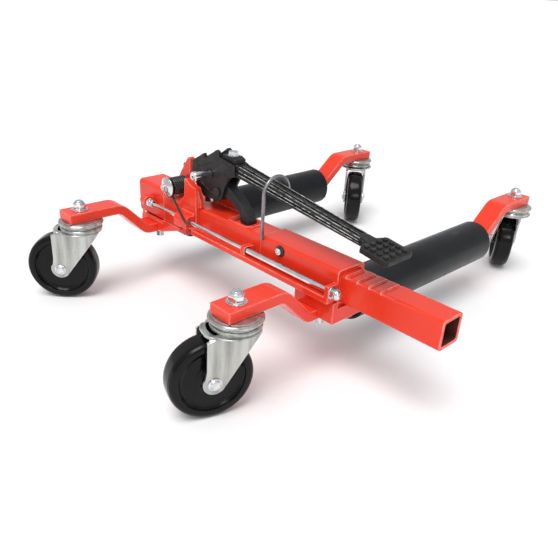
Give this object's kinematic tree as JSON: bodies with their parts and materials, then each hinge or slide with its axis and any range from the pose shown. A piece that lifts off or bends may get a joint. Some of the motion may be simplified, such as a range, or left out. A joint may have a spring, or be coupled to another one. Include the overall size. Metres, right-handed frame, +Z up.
{
  "type": "vehicle wheel dolly",
  "caption": "Ratcheting foot-pedal wheel dolly: twin rollers on a telescoping square beam, bent caster arms, swivel casters, pawl, spring, retaining wire and guide rod.",
  "frame": {"origin": "middle of the bounding box at floor level", "axes": "+X along the telescoping beam towards its open end, +Y along the rollers away from the foot lever, +Z up"},
  "size_m": [0.6138, 0.805, 0.2484],
  "materials": {
    "housing_tube": "gloss orange-red powder coat",
    "end_box": "gloss orange-red powder coat",
    "left_socket": "gloss orange-red powder coat",
    "fin_bracket": "gloss orange-red powder coat",
    "tall_bracket": "gloss orange-red powder coat",
    "far_bracket": "gloss orange-red powder coat",
    "guide_lug": "gloss orange-red powder coat",
    "lever_pin": "polished chrome plate",
    "spring_bolt": "polished chrome plate",
    "torsion_spring": "black oiled spring steel",
    "near_left_arm": "gloss orange-red powder coat",
    "far_left_arm": "gloss orange-red powder coat",
    "left_axle": "bright zinc plate",
    "left_arm_bolt_1": "bright zinc plate",
    "left_arm_bolt_2": "bright zinc plate",
    "stem_bolt_nl": "bright zinc plate",
    "stem_bolt_fl": "bright zinc plate",
    "race_cup_nl": "bright zinc plate",
    "race_cup_fl": "bright zinc plate",
    "sleeve_tube": "gloss orange-red powder coat",
    "inner_tube": "gloss orange-red powder coat",
    "sleeve_screw": "bright zinc plate",
    "right_socket": "gloss orange-red powder coat",
    "side_rail": "gloss orange-red powder coat",
    "guide_rod": "polished chrome plate",
    "rod_nut_left": "polished chrome plate",
    "rod_nut_right": "polished chrome plate",
    "near_right_arm": "gloss orange-red powder coat",
    "far_right_arm": "gloss orange-red powder coat",
    "right_axle": "bright zinc plate",
    "right_arm_bolt_1": "bright zinc plate",
    "right_arm_bolt_2": "bright zinc plate",
    "stem_bolt_nr": "bright zinc plate",
    "stem_bolt_fr": "bright zinc plate",
    "race_cup_nr": "bright zinc plate",
    "race_cup_fr": "bright zinc plate",
    "lever_head": "satin black coated casting",
    "clamp_block": "satin black coated casting",
    "clamp_bolt": "bright zinc plate",
    "dog_screw": "bright zinc plate",
    "lever_bar": "satin black coated casting",
    "pedal_pad": "satin black coated casting",
    "pawl_pin": "bright zinc plate",
    "drive_pawl": "satin black paint",
    "bail_wire": "bright zinc plate",
    "left_roller": "satin black paint",
    "right_roller": "satin black paint",
    "fork_nl": "bright zinc plate",
    "spindle_nl": "bright zinc plate",
    "wheel_nl": "glossy black moulded wheel",
    "fork_nr": "bright zinc plate",
    "spindle_nr": "bright zinc plate",
    "wheel_nr": "glossy black moulded wheel",
    "fork_fl": "bright zinc plate",
    "spindle_fl": "bright zinc plate",
    "wheel_fl": "glossy black moulded wheel",
    "fork_fr": "bright zinc plate",
    "spindle_fr": "bright zinc plate",
    "wheel_fr": "glossy black moulded wheel"
  },
  "bodies": {
    "frame_left": {"housing_tube": "housing_tube", "end_box": "end_box", "left_socket": "left_socket", "fin_bracket": "fin_bracket", "tall_bracket": "tall_bracket", "far_bracket": "far_bracket", "guide_lug": "guide_lug", "lever_pin": "lever_pin", "spring_bolt": "spring_bolt", "torsion_spring": "torsion_spring", "near_left_arm": "near_left_arm", "far_left_arm": "far_left_arm", "left_axle": "left_axle", "left_arm_bolt_1": "left_arm_bolt_1", "left_arm_bolt_2": "left_arm_bolt_2", "stem_bolt_nl": "stem_bolt_nl", "stem_bolt_fl": "stem_bolt_fl", "race_cup_nl": "race_cup_nl", "race_cup_fl": "race_cup_fl"},
    "carriage": {"sleeve_tube": "sleeve_tube", "inner_tube": "inner_tube", "sleeve_screw": "sleeve_screw", "right_socket": "right_socket", "side_rail": "side_rail", "guide_rod": "guide_rod", "rod_nut_left": "rod_nut_left", "rod_nut_right": "rod_nut_right", "near_right_arm": "near_right_arm", "far_right_arm": "far_right_arm", "right_axle": "right_axle", "right_arm_bolt_1": "right_arm_bolt_1", "right_arm_bolt_2": "right_arm_bolt_2", "stem_bolt_nr": "stem_bolt_nr", "stem_bolt_fr": "stem_bolt_fr", "race_cup_nr": "race_cup_nr", "race_cup_fr": "race_cup_fr"},
    "lever": {"lever_head": "lever_head", "clamp_block": "clamp_block", "clamp_bolt": "clamp_bolt", "dog_screw": "dog_screw", "lever_bar": "lever_bar", "pedal_pad": "pedal_pad", "pawl_pin": "pawl_pin"},
    "pawl": {"drive_pawl": "drive_pawl"},
    "bail": {"bail_wire": "bail_wire"},
    "roller_left": {"left_roller": "left_roller"},
    "roller_right": {"right_roller": "right_roller"},
    "caster_nl": {"fork_nl": "fork_nl", "spindle_nl": "spindle_nl"},
    "wheel_body_nl": {"wheel_nl": "wheel_nl"},
    "caster_nr": {"fork_nr": "fork_nr", "spindle_nr": "spindle_nr"},
    "wheel_body_nr": {"wheel_nr": "wheel_nr"},
    "caster_fl": {"fork_fl": "fork_fl", "spindle_fl": "spindle_fl"},
    "wheel_body_fl": {"wheel_fl": "wheel_fl"},
    "caster_fr": {"fork_fr": "fork_fr", "spindle_fr": "spindle_fr"},
    "wheel_body_fr": {"wheel_fr": "wheel_fr"}
  },
  "joints": [
    {"name": "carriage_slide", "type": "slide", "parent": "frame_left", "child": "carriage", "axis": [1, 0, 0], "range_m": [0, 0.064]},
    {"name": "lever_pivot", "type": "hinge", "parent": "frame_left", "child": "lever", "pos_m": [-0.10513, -0.16613, 0.209], "axis": [0, -1, 0], "range_deg": [0, 35]},
    {"name": "pawl_pivot", "type": "hinge", "parent": "lever", "child": "pawl", "pos_m": [-0.08813, -0.16613, 0.186], "axis": [0, -1, 0], "range_deg": [-44, 2]},
    {"name": "bail_swing", "type": "hinge", "parent": "lever", "child": "bail", "pos_m": [0.02687, -0.16613, 0.2155], "axis": [0, -1, 0], "range_deg": [-45, 18]},
    {"name": "left_roller_spin", "type": "hinge", "parent": "frame_left", "child": "roller_left", "pos_m": [-0.24113, 0.03387, 0.088], "axis": [0, 1, 0], "continuous": true},
    {"name": "right_roller_spin", "type": "hinge", "parent": "carriage", "child": "roller_right", "pos_m": [0.12487, 0.03387, 0.088], "axis": [0, 1, 0], "continuous": true},
    {"name": "swivel_nl", "type": "hinge", "parent": "frame_left", "child": "caster_nl", "pos_m": [-0.24113, -0.31913, 0.115], "axis": [0, 0, 1], "continuous": true},
    {"name": "wheel_spin_nl", "type": "hinge", "parent": "caster_nl", "child": "wheel_body_nl", "pos_m": [-0.26294, -0.34336, 0.0525], "axis": [0.7431, -0.6691, 0], "continuous": true},
    {"name": "swivel_nr", "type": "hinge", "parent": "carriage", "child": "caster_nr", "pos_m": [0.12487, -0.31913, 0.115], "axis": [0, 0, 1], "continuous": true},
    {"name": "wheel_spin_nr", "type": "hinge", "parent": "caster_nr", "child": "wheel_body_nr", "pos_m": [0.1148, -0.35013, 0.0525], "axis": [0.9511, -0.309, 0], "continuous": true},
    {"name": "swivel_fl", "type": "hinge", "parent": "frame_left", "child": "caster_fl", "pos_m": [-0.24113, 0.32487, 0.115], "axis": [0, 0, 1], "continuous": true},
    {"name": "wheel_spin_fl", "type": "hinge", "parent": "caster_fl", "child": "wheel_body_fl", "pos_m": [-0.21932, 0.30064, 0.0525], "axis": [0.7431, 0.6691, 0], "continuous": true},
    {"name": "swivel_fr", "type": "hinge", "parent": "carriage", "child": "caster_fr", "pos_m": [0.12487, 0.32487, 0.115], "axis": [0, 0, 1], "continuous": true},
    {"name": "wheel_spin_fr", "type": "hinge", "parent": "caster_fr", "child": "wheel_body_fr", "pos_m": [0.10808, 0.35281, 0.0525], "axis": [-0.8572, -0.515, 0], "continuous": true}
  ],
  "couplings": [
    {"joint": "pawl_pivot", "follows": "lever_pivot", "ratio": -1.2}
  ]
}
